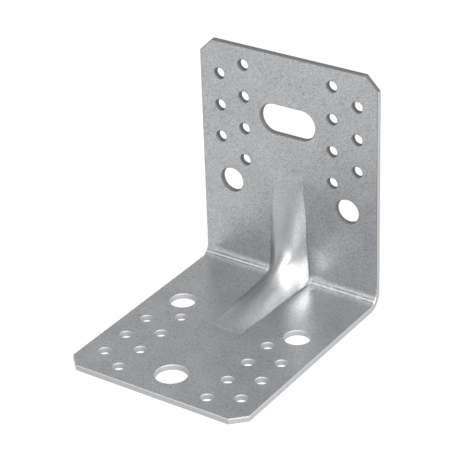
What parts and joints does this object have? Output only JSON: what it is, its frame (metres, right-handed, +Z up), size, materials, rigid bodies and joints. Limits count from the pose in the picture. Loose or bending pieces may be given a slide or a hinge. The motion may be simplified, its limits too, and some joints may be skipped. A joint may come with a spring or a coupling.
{
  "type": "angle connector",
  "caption": "Right-angle sheet-metal connector with two equal legs, a pressed rib across the inner corner, nail holes, anchor holes and a slot.",
  "frame": {"origin": "middle of the base leg's underside, at the bottom of the bounding box", "axes": "+Z up along the upright leg, +Y from the base leg's free end to the upright leg's back face, +X across the width"},
  "size_m": [0.09, 0.111, 0.111],
  "materials": {
    "galvanised_sheet": "hot-dip galvanised, matt to satin with fine grain"
  },
  "bodies": {
    "root": {"angle_connector": "galvanised_sheet"}
  },
  "joints": []
}
